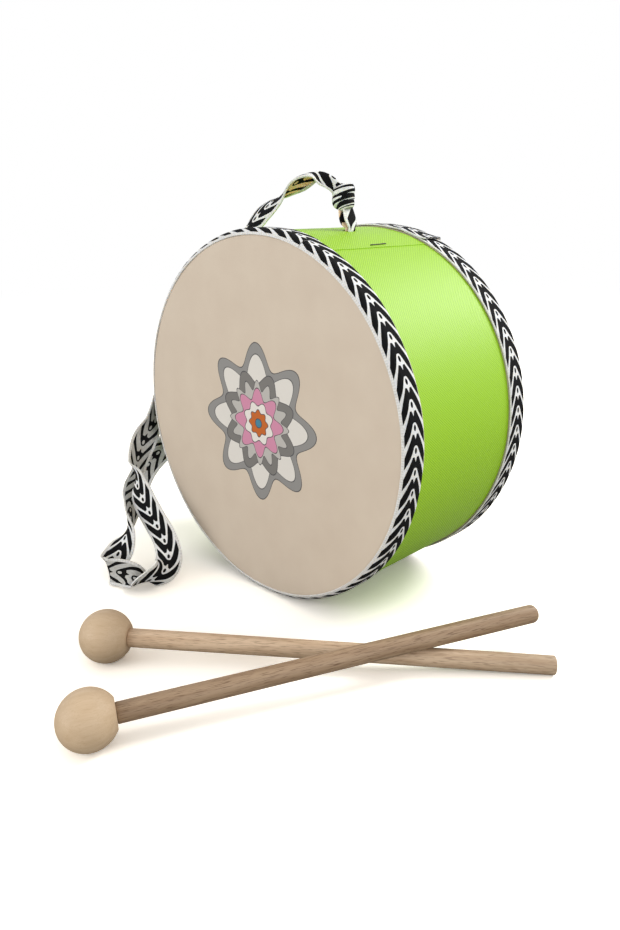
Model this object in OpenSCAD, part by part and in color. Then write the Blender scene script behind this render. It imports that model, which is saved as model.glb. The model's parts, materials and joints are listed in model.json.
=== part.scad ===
// Two-headed child's drum lying on its side, with a ribbon neck strap and a pair of beaters.
// The origin is the centre of the front head's outer face. The drum's axis is Y, the front
// head faces -Y and +Z is up. The floor lies half a drum diameter below the axis.
// Angles round the drum are counted from +X towards +Z. All sizes are in millimetres.

/* [Shell] */
// Diameter over the trim ribbons
drum_d = 200; // [160:1:240]
// Length from the outer face of one head to that of the other
drum_l = 101; // [80:1:160]
// Thickness of the bent plywood shell
shell_t = 3.6; // [3.6:0.1:6]
// Open butt seam where the ends of the shell meet
seam_gap = 0.3; // [0.1:0.1:1]
// Angle of the shell's seam and of the free edge of the cover's lap
seam_deg = 65; // [55:1:75]
// Thickness of the reinforcing hoops and of the splice strip
hoop_t = 3; // [2:0.5:6]
// Width of a reinforcing hoop along the drum
hoop_w = 10; // [6:1:16]
// Width of the splice strip, round the drum
splice_w = 30; // [16:1:40]

/* [Heads] */
// Thickness of a head
head_t = 0.8; // [0.5:0.1:1.2]
// Radius of a head's rounded rim
rim_r = 4; // [3:0.1:4.4]
// Length of a head's skirt, from its outer face
skirt_l = 14; // [12:0.5:20]

/* [Cover] */
// Thickness of the leatherette wrap
wrap_t = 0.6; // [0.3:0.1:1]
// Width of the wrap's lap
lap_w = 14; // [8:1:20]

/* [Trim] */
// Thickness of a trim ribbon
trim_t = 0.8; // [0.5:0.1:1]
// Reach of a trim ribbon along the drum, from the head's outer face
trim_w = 12.6; // [10:0.1:13]
// Length of a trim ribbon's lapped end
trim_lap = 15; // [8:1:30]
// Angle of the front ribbon's cut end
front_lap_deg = 70; // [60:1:100]
// Angle of the rear ribbon's cut end
rear_lap_deg = 66; // [60:1:100]

/* [Staples] */
// Width of the flat staple wire
wire_w = 1.2; // [0.8:0.1:1.6]
// Thickness of the flat staple wire
wire_t = 0.5; // [0.3:0.1:0.6]
// Crown of the staple across the cover's lap
wrap_crown = 14; // [8:1:16]
// Distance of that staple from the lap's free edge
wrap_staple_in = 2.6; // [1.5:0.1:5]
// Crown of a staple that holds a head's skirt
head_crown = 7; // [5:0.5:7]
// Length of a staple's legs
leg_l = 4; // [3:0.2:4.4]
// Staples round each head
head_staples = 12; // [6:1:24]
// Depth of a head staple's crown below the skirt's face
crown_sink = 0.02; // [0.01:0.01:0.1]

/* [Strap] */
// Width of the strap ribbon
strap_w = 16; // [12:0.5:18]
// Thickness of the strap ribbon
strap_t = 1.2; // [0.8:0.1:1.6]
// Diameter of the strap holes through shell and cover
hole_d = 8; // [7:0.5:12]
// Room between a folded strap end and its hole
neck_room = 0.6; // [0.3:0.1:1]
// Thickness of a folded strap end
neck_t = 3.4; // [2:0.2:5]
// Margin by which a folded strap end is pulled tighter outside its hole
neck_tight = 0.3; // [0.1:0.1:0.5]
// Angle of the top hole
top_hole_deg = 80; // [78:1:100]
// Distance of the top hole behind the front head's face
top_hole_y = 54; // [40:1:60]
// Angle of the side hole
side_hole_deg = 190; // [170:1:200]
// Distance of the side hole behind the front head's face
side_hole_y = 48; // [40:1:60]
// Diameter of an outer knot
knot_d = 12; // [10:0.5:16]
// Length of an outer knot
knot_l = 15; // [12:0.5:20]
// Height of an outer knot's centre over the cover
knot_rise = 16; // [12:0.5:20]
// Sideways lean of an outer knot
knot_lean = 7.5; // [0:0.5:10]
// Diameter of a stop knot inside the shell
stop_d = 13; // [12.5:0.5:18]
// Length of a stop knot inside the shell
stop_l = 11; // [8:0.5:16]

/* [Beaters] */
// Diameter of a beater's ball
ball_d = 26; // [20:0.5:32]
// Diameter of the flat on a ball, where its stick enters
flat_d = 13; // [11:0.5:16]
// Diameter of a stick
stick_d = 9; // [7:0.5:10.5]
// Diameter of the tenon at a stick's inner end
tenon_d = 7; // [4:0.5:7]
// Length of that tenon
tenon_l = 14; // [8:0.5:16]
// Glue gap round a tenon
glue_gap = 0.1; // [0.05:0.01:0.2]
// Distance from a ball's centre to the end of its stick
reach = 214; // [190:1:260]
// Rounding of the lower stick's end
lower_end_r = 0.8; // [0.2:0.1:3]
// Rounding of the upper stick's end
upper_end_r = 3; // [0.2:0.1:3.2]
// Distance from the drum's side to the place where the sticks cross
cross_out = 13.5; // [12:0.5:40]
// Place where the sticks cross, behind the front head's face
cross_y = -1.2; // [-40:0.2:20]
// Distance from the lower ball to the crossing
lower_cross = 153; // [120:1:180]
// Distance from the upper ball to the crossing
upper_cross = 152.6; // [120:0.2:180]
// Direction of the lower stick on the floor
lower_yaw = 40.1; // [35:0.1:45]
// Direction of the upper stick on the floor
upper_yaw = 64.4; // [60:0.1:75]
// Height left between the crossing sticks
rest_gap = 0.4; // [0.3:0.1:1]

/* [Hidden] */

// Radii of the layers, from the outside in
trim_r = drum_d / 2;
skirt_r = trim_r - trim_t;
wrap_r = skirt_r - head_t;
shell_r = wrap_r - wrap_t;
bore_r = shell_r - shell_t;
lap_r = wrap_r + wrap_t;
floor_z = -trim_r;

// The larger share of the splice strip lies before the lap's free edge, and the shell's seam
// runs along the strip's middle
splice_before = 0.6;
splice_span = splice_w / bore_r * 180 / PI;
splice_from_deg = seam_deg - splice_before * splice_span;
shell_seam_deg = splice_from_deg + splice_span / 2;

// Steps of a quarter round, and how many of them the trim follows over the rim
rim_steps = 10;
curl_steps = 6;

// Cuts run this far past the faces that they open
past = 1;

// Beater values
ball_r = ball_d / 2;
stick_r = stick_d / 2;
flat_s = sqrt(ball_r * ball_r - flat_d * flat_d / 4);
shoulder_s = flat_s + glue_gap;
tenon_s = shoulder_s - tenon_l;
cross_x = trim_r + cross_out;
lower_tilt = -asin((ball_r - stick_r) / reach);
lower_cross_z = ball_r + lower_cross * sin(lower_tilt);
upper_tilt = asin((lower_cross_z + stick_d + rest_gap - ball_r) / upper_cross);

// Colours, as on the object
ply = "burlywood";
lime = "#a8db3e";
hide = "#cfc0ae";
ribbon = "#55565a";
steel = "dimgray";
beech = "#b8987a";
pale_beech = "#cdb08c";

// Rings along the strap, and the part of a route point over which its direction is taken
strap_rings = 77;
route_near = 0.02;

// A knot's outline: the bluntness of its ends, and the share by which its waist is drawn in
knot_blunt = 3;
knot_waist = 0.14;

// The strap's route, from the top knot over the drum's left side to the floor and back up to
// the side knot. Each row has a point and the direction across the ribbon there.
strap_route = [
    [[11, 53, 118], [-0.3, 0.9, 0.3]],
    [[9, 51, 121], [-0.3, 0.9, 0.3]],
    [[6, 48, 124], [-0.3, 0.9, 0.3]],
    [[1, 44, 126], [-0.4, 0.9, 0]],
    [[-7, 39, 122], [-0.5, 0.8, -0.3]],
    [[-16, 36, 115], [-0.7, 0.6, 0]],
    [[-25, 33, 109], [-0.7, 0.4, 0.5]],
    [[-34, 31, 102], [-0.8, 0.3, 0.5]],
    [[-47, 29, 92], [-0.4, 0.9, 0.2]],
    [[-71, 27, 73], [0, 1, 0]],
    [[-89, 23, 49], [0, 1, 0]],
    [[-100, 16, 22], [0, 1, 0]],
    [[-104, 9, 0], [0.1, 1, 0]],
    [[-105, 3, -17], [0.3, 1, 0]],
    [[-105, -6, -30], [0.3, 1, 0]],
    [[-103, -14, -43], [-0.3, 0.9, 0]],
    [[-94, -20, -51], [-0.8, 0, -0.5]],
    [[-84, -23, -59], [-0.5, -0.7, -0.5]],
    [[-71, -25, -68], [-0.5, -0.7, -0.5]],
    [[-60, -26, -77], [-0.6, -0.7, -0.3]],
    [[-52, -29, -85], [-0.7, -0.6, 0.1]],
    [[-47, -35, -89], [-0.4, -0.3, 0.7]],
    [[-46, -42, -91], [0.2, 0, 1]],
    [[-49, -47, -93], [0.5, -0.4, 0.7]],
    [[-54, -49, -95], [0.4, -0.8, 0]],
    [[-60, -51, -92], [0.3, -0.4, -0.8]],
    [[-66, -54, -91], [0.2, -0.2, -1]],
    [[-72, -57, -91], [0.3, 0, -1]],
    [[-77, -54, -90], [0.2, 0.1, -1]],
    [[-77, -47, -84], [0.6, 0.1, -0.6]],
    [[-81, -38, -75], [0.8, -0.4, -0.1]],
    [[-91, -29, -67], [0.5, -0.8, 0.4]],
    [[-103, -18, -62], [-0.1, -0.8, 0.4]],
    [[-111, -7, -56], [-0.6, -0.5, 0.2]],
    [[-114, 2, -49], [-0.6, -0.4, 0.4]],
    [[-114, 12, -42], [-0.5, -0.5, 0.5]],
    [[-113, 23, -36], [-0.3, -0.7, 0.6]],
    [[-112, 34, -31], [0, -0.8, 0.6]],
    [[-111, 43, -28], [0, -0.8, 0.6]]];
route_end = len(strap_route) - 1;
// The ribbon is gathered to this share of its width at the knots, and opens over this many points
gathered = 0.5;
open_points = 3;

// Points of a quarter round from the side of the drum (0) towards a head's face
function rim_arc(radius, side_r, steps) =
    [for (i = [0 : steps]) let (a = 90 * i / rim_steps)
        [side_r - rim_r + radius * cos(a), rim_r - radius * sin(a)]];
function backwards(list) = [for (i = [len(list) - 1 : -1 : 0]) list[i]];
function unit(v) = v / norm(v);

// A smooth curve through the values of one column of the route, at place u in route points
function along_route(column, u) =
    let (i = min(floor(u), route_end - 1),
        t = u - i,
        a = strap_route[max(i - 1, 0)][column],
        b = strap_route[i][column],
        c = strap_route[i + 1][column],
        d = strap_route[min(i + 2, route_end)][column])
    0.5 * (2 * b + (c - a) * t + (2 * a - 5 * b + 4 * c - d) * t * t
        + (3 * b - a - 3 * c + d) * t * t * t);
function strap_width(u) =
    strap_w * min(1, gathered + (1 - gathered) * min(u, route_end - u) / open_points);

// One ring of the strap: eight points round a flat ribbon with rounded edges
function strap_ring(u) =
    let (here = along_route(0, u),
        ahead = along_route(0, min(u + route_near, route_end)),
        behind = along_route(0, max(u - route_near, 0)),
        along = unit(ahead - behind),
        turn = along_route(1, u),
        across = unit(turn - (turn * along) * along),
        face = cross(across, along),
        w = strap_width(u) / 2,
        t = strap_t / 2)
    [for (q = [[w, -t / 2], [w, t / 2], [w - t, t], [t - w, t],
            [-w, t / 2], [-w, -t / 2], [t - w, -t], [w - t, -t]])
        here + q[0] * across + q[1] * face];

// Turns a profile of radius and depth about the drum's axis; depth 0 is the front face
module turned(points, from_deg = 0, span = 360) {
    rotate([-90, 0, 0])
        rotate([0, 0, -from_deg - span])
            rotate_extrude(angle = span, $fn = 180) polygon(points);
}

// Mirrors a piece of the front end to the rear end
module at_rear() {
    translate([0, drum_l, 0]) mirror([0, 1, 0]) children();
}

// Places a piece at an angle and depth, with +X pointing out of the drum
module round_drum(deg, y) {
    translate([0, y, 0]) rotate([0, -deg, 0]) children();
}

// A staple with its crown along the drum, its crown's outer face at radius r
module staple(r, crown, leg, over = 0) {
    translate([r - wire_t, -crown / 2, -wire_w / 2]) cube([wire_t + over, crown, wire_w]);
    for (side = [-1, 1])
        translate([r - wire_t - leg, side * (crown - wire_t) / 2 - wire_t / 2, -wire_w / 2])
            cube([leg + wire_t / 2, wire_t, wire_w]);
}

// The staples round the front skirt, under the ribbon
module skirt_staples(over = 0) {
    for (i = [0 : head_staples - 1])
        round_drum((i + 0.5) * 360 / head_staples, (rim_r + trim_w) / 2)
            staple(skirt_r - crown_sink, head_crown, leg_l, over);
}

// The staple across the cover's lap
module lap_staple() {
    round_drum(seam_deg + wrap_staple_in / lap_r * 180 / PI, drum_l / 2)
        staple(lap_r + wire_t, wrap_crown, wrap_t * 2 + shell_t + hoop_t / 2);
}

module all_staples() {
    skirt_staples(past);
    at_rear() skirt_staples(past);
    lap_staple();
}

// The two strap holes
module strap_holes() {
    for (hole = [[top_hole_deg, top_hole_y], [side_hole_deg, side_hole_y]])
        round_drum(hole[0], hole[1])
            translate([bore_r - past, 0, 0]) rotate([0, 90, 0])
                cylinder(d = hole_d, h = lap_r + past - bore_r + past, $fn = 48);
}

// Bent plywood hoop with bearing edges rounded to the inside of the heads' rims
module shell_hoop() {
    edge = rim_arc(rim_r - head_t, shell_r + head_t, rim_steps);
    front = concat(backwards(edge), [[shell_r, drum_l / 2]]);
    rear = concat([[shell_r, drum_l / 2]], [for (p = edge) [p[0], drum_l - p[1]]]);
    color(ply) difference() {
        turned(concat([[bore_r, head_t]], front, rear, [[bore_r, drum_l - head_t]]));
        round_drum(shell_seam_deg, drum_l / 2)
            translate([bore_r - past, -drum_l / 2, -seam_gap / 2])
                cube([shell_t + 2 * past, drum_l, seam_gap]);
        all_staples();
        strap_holes();
    }
}

// Batten glued inside the shell's seam, which also takes the lap staple's legs
module splice_strip() {
    color(ply) difference() {
        turned([[bore_r - hoop_t, head_t + hoop_w], [bore_r, head_t + hoop_w],
            [bore_r, drum_l - head_t - hoop_w], [bore_r - hoop_t, drum_l - head_t - hoop_w]],
            splice_from_deg, splice_span);
        lap_staple();
    }
}

// Hoop glued inside the front bearing edge
module front_hoop() {
    color(ply) turned([[bore_r - hoop_t, head_t], [bore_r, head_t],
        [bore_r, head_t + hoop_w], [bore_r - hoop_t, head_t + hoop_w]]);
}

module rear_hoop() {
    at_rear() front_hoop();
}

// Leatherette strip round the shell, with its end lapped over its start between the skirts
module cover_wrap() {
    color(lime) difference() {
        union() {
            turned([[shell_r, rim_r], [wrap_r, rim_r],
                [wrap_r, drum_l - rim_r], [shell_r, drum_l - rim_r]]);
            turned([[wrap_r - wrap_t / 2, skirt_l], [lap_r, skirt_l],
                [lap_r, drum_l - skirt_l], [wrap_r - wrap_t / 2, drum_l - skirt_l]],
                seam_deg, lap_w / wrap_r * 180 / PI);
        }
        all_staples();
        strap_holes();
    }
}

// Wire staple across the cover's lap at mid length
module wrap_staple() {
    color(steel) lap_staple();
}

// Flat membrane with a rounded rim and a skirt drawn over the shell
module front_head() {
    outer = rim_arc(rim_r, skirt_r, rim_steps);
    inner = rim_arc(rim_r - head_t, skirt_r, rim_steps);
    color(hide) difference() {
        turned(concat([[0, head_t], [0, 0]], backwards(outer), [[skirt_r, skirt_l], [wrap_r, skirt_l]],
            inner));
        skirt_staples(past);
    }
}

module rear_head() {
    at_rear() front_head();
}

module front_head_staples() {
    color(steel) skirt_staples();
}

module rear_head_staples() {
    at_rear() front_head_staples();
}

// Ribbon glued over the skirt and curled over the rim, with its end lapped over its start
module trim_ring(lap_deg) {
    inner = rim_arc(rim_r, skirt_r, curl_steps);
    outer = rim_arc(rim_r + trim_t, skirt_r, curl_steps);
    color(ribbon) union() {
        turned(concat(backwards(inner), [[skirt_r, trim_w], [trim_r, trim_w]], outer));
        turned([[trim_r - trim_t / 2, rim_r], [trim_r + trim_t, rim_r],
            [trim_r + trim_t, trim_w], [trim_r - trim_t / 2, trim_w]],
            lap_deg, trim_lap / trim_r * 180 / PI);
    }
}

module front_trim() {
    trim_ring(front_lap_deg);
}

module rear_trim() {
    at_rear() trim_ring(rear_lap_deg);
}

// Free stretch of the neck strap, one flat ribbon swept along its route
module strap() {
    rings = [for (k = [0 : strap_rings - 1]) strap_ring(k * route_end / (strap_rings - 1))];
    sides = len(rings[0]);
    skin = [for (k = [0 : strap_rings - 2], i = [0 : sides - 1])
        let (a = k * sides + i, b = k * sides + (i + 1) % sides)
        each [[a, a + sides, b], [b, a + sides, b + sides]]];
    first_cap = [for (i = [1 : sides - 2]) [0, i, i + 1]];
    last = (strap_rings - 1) * sides;
    last_cap = [for (i = [1 : sides - 2]) [last, last + i + 1, last + i]];
    color(ribbon) polyhedron([for (ring = rings) each ring], concat(skin, first_cap, last_cap));
}

// A tied knot as a turned lump with a waist between its two turns
module knot(diameter, length) {
    steps = 16;
    points = [for (i = [0 : steps])
        let (u = 2 * i / steps - 1,
            drawn_in = knot_waist * (1 + cos(360 * u)) / 2)
        [diameter / 2 * sqrt(1 - pow(abs(u), knot_blunt)) * (1 - drawn_in), u * length / 2]];
    rotate([0, 90, 0]) rotate_extrude($fn = 48) polygon(points);
}

// Leans from the mouth of a strap hole towards the outer knot
module leaning(hole) {
    round_drum(hole[0], hole[1])
        translate([wrap_r, 0, 0])
            rotate([0, -atan(knot_lean / knot_rise), 0]) children();
}

// Outline of the strap's end, folded to pass the hole, and pulled tighter by a margin all round
module folded_end(tighter = 0) {
    wide = hole_d - 2 * neck_room - neck_t;
    thick = neck_t - 2 * tighter;
    square([thick, wide], center = true);
    for (side = [-1, 1])
        translate([0, side * wide / 2]) circle(d = thick, $fn = 32);
}

// Outer knot over a strap hole
module outer_knot(hole) {
    color(ribbon) leaning(hole)
        translate([norm([knot_rise, knot_lean]), 0, 0]) knot(knot_d, knot_l);
}

// Folded strap end, from the stop knot inside the shell through the hole to the outer knot
module neck(hole) {
    color(ribbon) union() {
        round_drum(hole[0], hole[1])
            translate([bore_r - stop_l / 2, 0, 0]) rotate([0, 90, 0])
                linear_extrude(wrap_r - bore_r + stop_l / 2 + neck_t / 2) folded_end();
        leaning(hole) rotate([0, 90, 0])
            linear_extrude(norm([knot_rise, knot_lean]) - knot_l / 4) folded_end(neck_tight);
    }
}

// Stop knot inside the shell
module stop_knot(hole) {
    color(ribbon) round_drum(hole[0], hole[1])
        translate([bore_r - stop_l / 2, 0, 0]) knot(stop_d, stop_l);
}

top_hole = [top_hole_deg, top_hole_y];
side_hole = [side_hole_deg, side_hole_y];

module top_strap_knot() {
    outer_knot(top_hole);
}

module top_strap_neck() {
    neck(top_hole);
}

module top_stop_knot() {
    stop_knot(top_hole);
}

module side_strap_knot() {
    outer_knot(side_hole);
}

module side_strap_neck() {
    neck(side_hole);
}

module side_stop_knot() {
    stop_knot(side_hole);
}

// Places a beater with its ball on the floor and its stick along local +X
module beater_at(yaw, tilt, cross_l) {
    translate([cross_x - cross_l * cos(yaw), cross_y - cross_l * sin(yaw), floor_z + ball_r])
        rotate([0, -tilt, yaw]) children();
}

// Turned stick with a tenon at the ball and a rounded free end
module stick(end_r) {
    steps = 8;
    end = [for (i = [0 : steps]) let (a = 90 * i / steps)
        [stick_r - end_r + end_r * cos(a), reach - end_r + end_r * sin(a)]];
    color(beech) rotate([0, 90, 0]) rotate_extrude($fn = 64)
        polygon(concat([[0, tenon_s], [tenon_d / 2, tenon_s], [tenon_d / 2, shoulder_s],
            [stick_r, shoulder_s]], end, [[0, reach]]));
}

// Turned ball with a flat and a blind bore for the tenon
module ball() {
    color(pale_beech) difference() {
        rotate([0, 90, 0]) sphere(r = ball_r, $fn = 96);
        translate([flat_s, -ball_r, -ball_r]) cube(ball_d);
        translate([tenon_s - glue_gap, 0, 0]) rotate([0, 90, 0])
            cylinder(d = tenon_d + 2 * glue_gap, h = ball_d, $fn = 48);
    }
}

module lower_beater_stick() {
    beater_at(lower_yaw, lower_tilt, lower_cross) stick(lower_end_r);
}

module lower_beater_ball() {
    beater_at(lower_yaw, lower_tilt, lower_cross) ball();
}

module upper_beater_stick() {
    beater_at(upper_yaw, upper_tilt, upper_cross) stick(upper_end_r);
}

module upper_beater_ball() {
    beater_at(upper_yaw, upper_tilt, upper_cross) ball();
}

shell_hoop();
splice_strip();
front_hoop();
rear_hoop();
cover_wrap();
wrap_staple();
front_head();
rear_head();
front_head_staples();
rear_head_staples();
front_trim();
rear_trim();
strap();
top_strap_knot();
top_strap_neck();
top_stop_knot();
side_strap_knot();
side_strap_neck();
side_stop_knot();
lower_beater_stick();
lower_beater_ball();
upper_beater_stick();
upper_beater_ball();
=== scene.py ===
# A two-headed child's drum lying on its side, with a ribbon neck strap and a pair of beaters.
# The frame is that of the solids: the origin is the centre of the front head's face, the drum's
# axis runs along +Y and +Z is up. Sizes are in millimetres, and angles round the drum are in
# degrees from +X towards +Z.
import json
import math

import bmesh
import bpy
import numpy as np
from mathutils import Matrix, Vector

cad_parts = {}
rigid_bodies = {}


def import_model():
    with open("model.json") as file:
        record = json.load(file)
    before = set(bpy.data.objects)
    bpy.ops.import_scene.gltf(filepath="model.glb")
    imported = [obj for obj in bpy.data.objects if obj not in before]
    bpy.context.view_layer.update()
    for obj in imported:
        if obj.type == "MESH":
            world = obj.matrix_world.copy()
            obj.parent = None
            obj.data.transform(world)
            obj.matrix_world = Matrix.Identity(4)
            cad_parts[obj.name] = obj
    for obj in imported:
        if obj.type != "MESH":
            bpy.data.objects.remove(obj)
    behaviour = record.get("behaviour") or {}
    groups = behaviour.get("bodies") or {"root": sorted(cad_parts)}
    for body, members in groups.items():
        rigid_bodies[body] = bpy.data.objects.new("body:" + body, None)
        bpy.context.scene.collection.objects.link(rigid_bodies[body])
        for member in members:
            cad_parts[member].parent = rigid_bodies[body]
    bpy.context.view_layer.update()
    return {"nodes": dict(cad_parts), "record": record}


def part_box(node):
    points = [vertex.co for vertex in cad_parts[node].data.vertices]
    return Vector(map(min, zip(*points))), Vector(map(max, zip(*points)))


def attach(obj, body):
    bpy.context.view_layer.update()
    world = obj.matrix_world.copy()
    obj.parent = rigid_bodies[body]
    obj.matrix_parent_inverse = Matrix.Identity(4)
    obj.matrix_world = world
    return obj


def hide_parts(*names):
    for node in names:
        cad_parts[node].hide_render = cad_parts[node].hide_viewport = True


for leftover in list(bpy.data.objects):
    bpy.data.objects.remove(leftover)
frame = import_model()
MM = 0.001


# Shell: a strip of birch plywood bent to a hoop and butted at its seam, with a splice batten
# glued inside the seam and a narrow hoop glued inside each bearing edge. The wood is bare, and
# cover and heads hide all of it.

def linear(colour):
    """An sRGB hex colour as linear light, with full alpha."""
    parts = [int(colour[i:i + 2], 16) / 255 for i in (1, 3, 5)]
    return [c / 12.92 if c <= 0.04045 else ((c + 0.055) / 1.055) ** 2.4 for c in parts] + [1.0]


def add(tree, kind, inputs=None, stops=(), **settings):
    """Adds a node. An input is a value, a socket, or a node whose first output feeds it."""
    node = tree.nodes.new("ShaderNode" + kind)
    for name, value in settings.items():
        setattr(node, name, value)
    for name, value in (inputs or {}).items():
        if isinstance(value, bpy.types.Node):
            value = value.outputs[0]
        if isinstance(value, bpy.types.NodeSocket):
            tree.links.new(value, node.inputs[name])
        else:
            node.inputs[name].default_value = value
    for i, (place, colour) in enumerate(stops):
        ramp = node.color_ramp.elements
        stop = ramp[i] if i < 2 else ramp.new(place)
        stop.position = place
        stop.color = colour
    return node


def new_finish(name, roughness, specular=0.5):
    """A new material, with its node tree and its shader."""
    finish = bpy.data.materials.new(name)
    finish.use_nodes = True
    tree = finish.node_tree
    shader = tree.nodes["Principled BSDF"]
    shader.inputs["Roughness"].default_value = roughness
    shader.inputs["Specular IOR Level"].default_value = specular
    return finish, tree, shader


# Birch plywood, rotary cut and sanded: fine brown streaks that follow the bend of the strip.
ply_streak_w_mm = 1.5
ply_streak_l_mm = 83.3
birch_plywood, tree, shader = new_finish("bare_birch_plywood", 0.65)
place = add(tree, "TexCoord")
grain = add(tree, "Mapping", {"Vector": place.outputs["Object"],
                              "Scale": (1 / (ply_streak_l_mm * MM), 1 / (ply_streak_w_mm * MM),
                                        1 / (ply_streak_l_mm * MM))})
streaks = add(tree, "TexNoise", {"Vector": grain, "Scale": 1.0, "Detail": 5.0})
tone = add(tree, "ValToRGB", {"Fac": streaks},
           [(0.3, linear("#B8925F")), (0.7, linear("#DCC196"))])
tree.links.new(tone.outputs[0], shader.inputs["Base Color"])
rough = add(tree, "Bump", {"Height": streaks, "Strength": 0.2, "Distance": 0.1 * MM})
tree.links.new(rough.outputs[0], shader.inputs["Normal"])
for node in ("shell_hoop", "splice_strip", "front_hoop", "rear_hoop"):
    frame["nodes"][node].data.materials.clear()
    frame["nodes"][node].data.materials.append(birch_plywood)


# Cover: a strip of lime green leatherette glued round the shell, with its end lapped over its
# start along one seam. Two holes are punched through it for the strap's ends.

def span(node, axis):
    """Where a solid begins and ends along x, y or z."""
    i = "xyz".index(axis)
    low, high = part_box(node)
    return low[i] / MM, high[i] / MM


def round_drum(radius, deg, y):
    """Points at a radius, an angle and a depth round the drum's axis."""
    turn = np.radians(deg)
    x, y, z = np.broadcast_arrays(radius * np.cos(turn), y, radius * np.sin(turn))
    return np.stack([x, y, z], axis=-1)


def eased(share):
    """A share kept between 0 and 1, which leaves the one and reaches the other gently."""
    share = np.clip(share, 0, 1)
    return share * share * (3 - 2 * share)


def grid_faces(rows, cols, round_rows=False, round_cols=False, first=0):
    """Four-sided faces between the points of a grid, which may close on itself either way."""
    faces = []
    for i in range(rows if round_rows else rows - 1):
        for j in range(cols if round_cols else cols - 1):
            here = first + i * cols
            ahead = first + (i + 1) % rows * cols
            side = (j + 1) % cols
            faces.append((here + j, here + side, ahead + side, ahead + j))
    return faces


def piece(name, points, faces, finish, body, solid, paint=None):
    """A piece from points in mm, which rides on its body and stands for its solid.
    paint holds three coordinates in mm for each point, which the finish reads as paint_mm."""
    crease_deg = 50
    mesh = bpy.data.meshes.new(name)
    mesh.from_pydata((np.asarray(points) * MM).tolist(), [], faces)
    if paint is not None:
        layer = mesh.attributes.new("paint_mm", "FLOAT_VECTOR", "POINT")
        layer.data.foreach_set("vector", np.asarray(paint, dtype=np.float32).ravel())
    shape = bmesh.new()
    shape.from_mesh(mesh)
    loose = [v for v in shape.verts if not v.link_faces]
    bmesh.ops.delete(shape, geom=loose, context="VERTS")
    bmesh.ops.recalc_face_normals(shape, faces=shape.faces)
    shape.to_mesh(mesh)
    shape.free()
    mesh.polygons.foreach_set("use_smooth", [True] * len(mesh.polygons))
    mesh.set_sharp_from_angle(angle=math.radians(crease_deg))
    mesh.materials.append(finish)
    made = bpy.data.objects.new(name, mesh)
    bpy.context.scene.collection.objects.link(made)
    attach(made, body)
    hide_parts(solid)
    return made


drum_l = span("rear_head", "y")[1]
wrap_r = span("cover_wrap", "x")[1]
wrap_y = span("cover_wrap", "y")
skirt_l = span("front_head", "y")[1]
wrap_t = 0.6
seam_deg = 65.0
hidden_deg = 4
lap_w = 14.0
lap_t = 0.3
lap_fade = 12.0
lap_inset = 0.2
lap_sunk = 0.1
lap_shift = 0.4
lip_h = 0.04
lip_w = 1.5
lip_wave = 6.5
# Angle and depth of each hole
strap_holes = [(80, 54.0), (190, 48.0)]
hole_r = 4.0
drawn_rings = 4

# The tube is a grid of one row for each degree, from the strip's start under the lap; the four
# faces round a hole's centre go, and the points round them are drawn back to its round edge.
row_step = math.radians(1) * wrap_r
y_step = 2.0
start_deg = int(seam_deg) + hidden_deg
depths = np.append(np.arange(wrap_y[0], wrap_y[1], y_step), wrap_y[1])
degs, ys = np.meshgrid(start_deg + np.arange(360.0), depths, indexing="ij")
punched = []
for hole_deg, hole_y in strap_holes:
    off_arc = np.radians(degs - hole_deg) * wrap_r
    off_y = ys - hole_y
    ring = np.maximum(np.abs(off_arc) / row_step, np.abs(off_y) / y_step)
    drawn = np.clip((drawn_rings + 1 - ring) / drawn_rings, 0, 1)
    far = np.maximum(np.hypot(off_arc, off_y), 1e-6)
    edge = hole_r + (ring - 1) * y_step
    degs = degs + drawn * np.degrees(off_arc / far * edge - off_arc) / wrap_r
    ys = ys + drawn * (off_y / far * edge - off_y)
    punched.append((hole_deg - start_deg, int(round((hole_y - wrap_y[0]) / y_step))))
rows, cols = degs.shape
outside = round_drum(wrap_r, degs, ys).reshape(-1, 3)
inside = round_drum(wrap_r - wrap_t, degs, ys).reshape(-1, 3)
under = rows * cols
faces = []
for first in (0, under):
    centres = {first + i * cols + j for i, j in punched}
    faces += [f for f in grid_faces(rows, cols, True, False, first) if not centres & set(f)]
for i in range(rows):
    ahead = (i + 1) % rows
    for j in (0, cols - 1):
        faces.append((i * cols + j, ahead * cols + j, under + ahead * cols + j, under + i * cols + j))
for i, j in punched:
    rim = [(i - 1, j - 1), (i - 1, j), (i - 1, j + 1), (i, j + 1),
           (i + 1, j + 1), (i + 1, j), (i + 1, j - 1), (i, j - 1)]
    rim = [a * cols + b for a, b in rim]
    for a, b in zip(rim, rim[1:] + rim[:1]):
        faces.append((a, b, under + b, under + a))
weave = np.stack([np.radians(degs) * wrap_r, ys, 0 * ys], axis=-1).reshape(-1, 3)
points = [outside, inside]
paint = [weave, weave]


def sheet_faces(rows, cols, first=0):
    """Faces of a thin sheet whose every row runs along its face and back along its reverse."""
    around = 2 * cols
    faces = grid_faces(rows, around, False, True, first)
    for end in (first, first + (rows - 1) * around):
        for j in range(cols - 1):
            faces.append((end + j, end + j + 1, end + around - 2 - j, end + around - 1 - j))
    return faces


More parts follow.
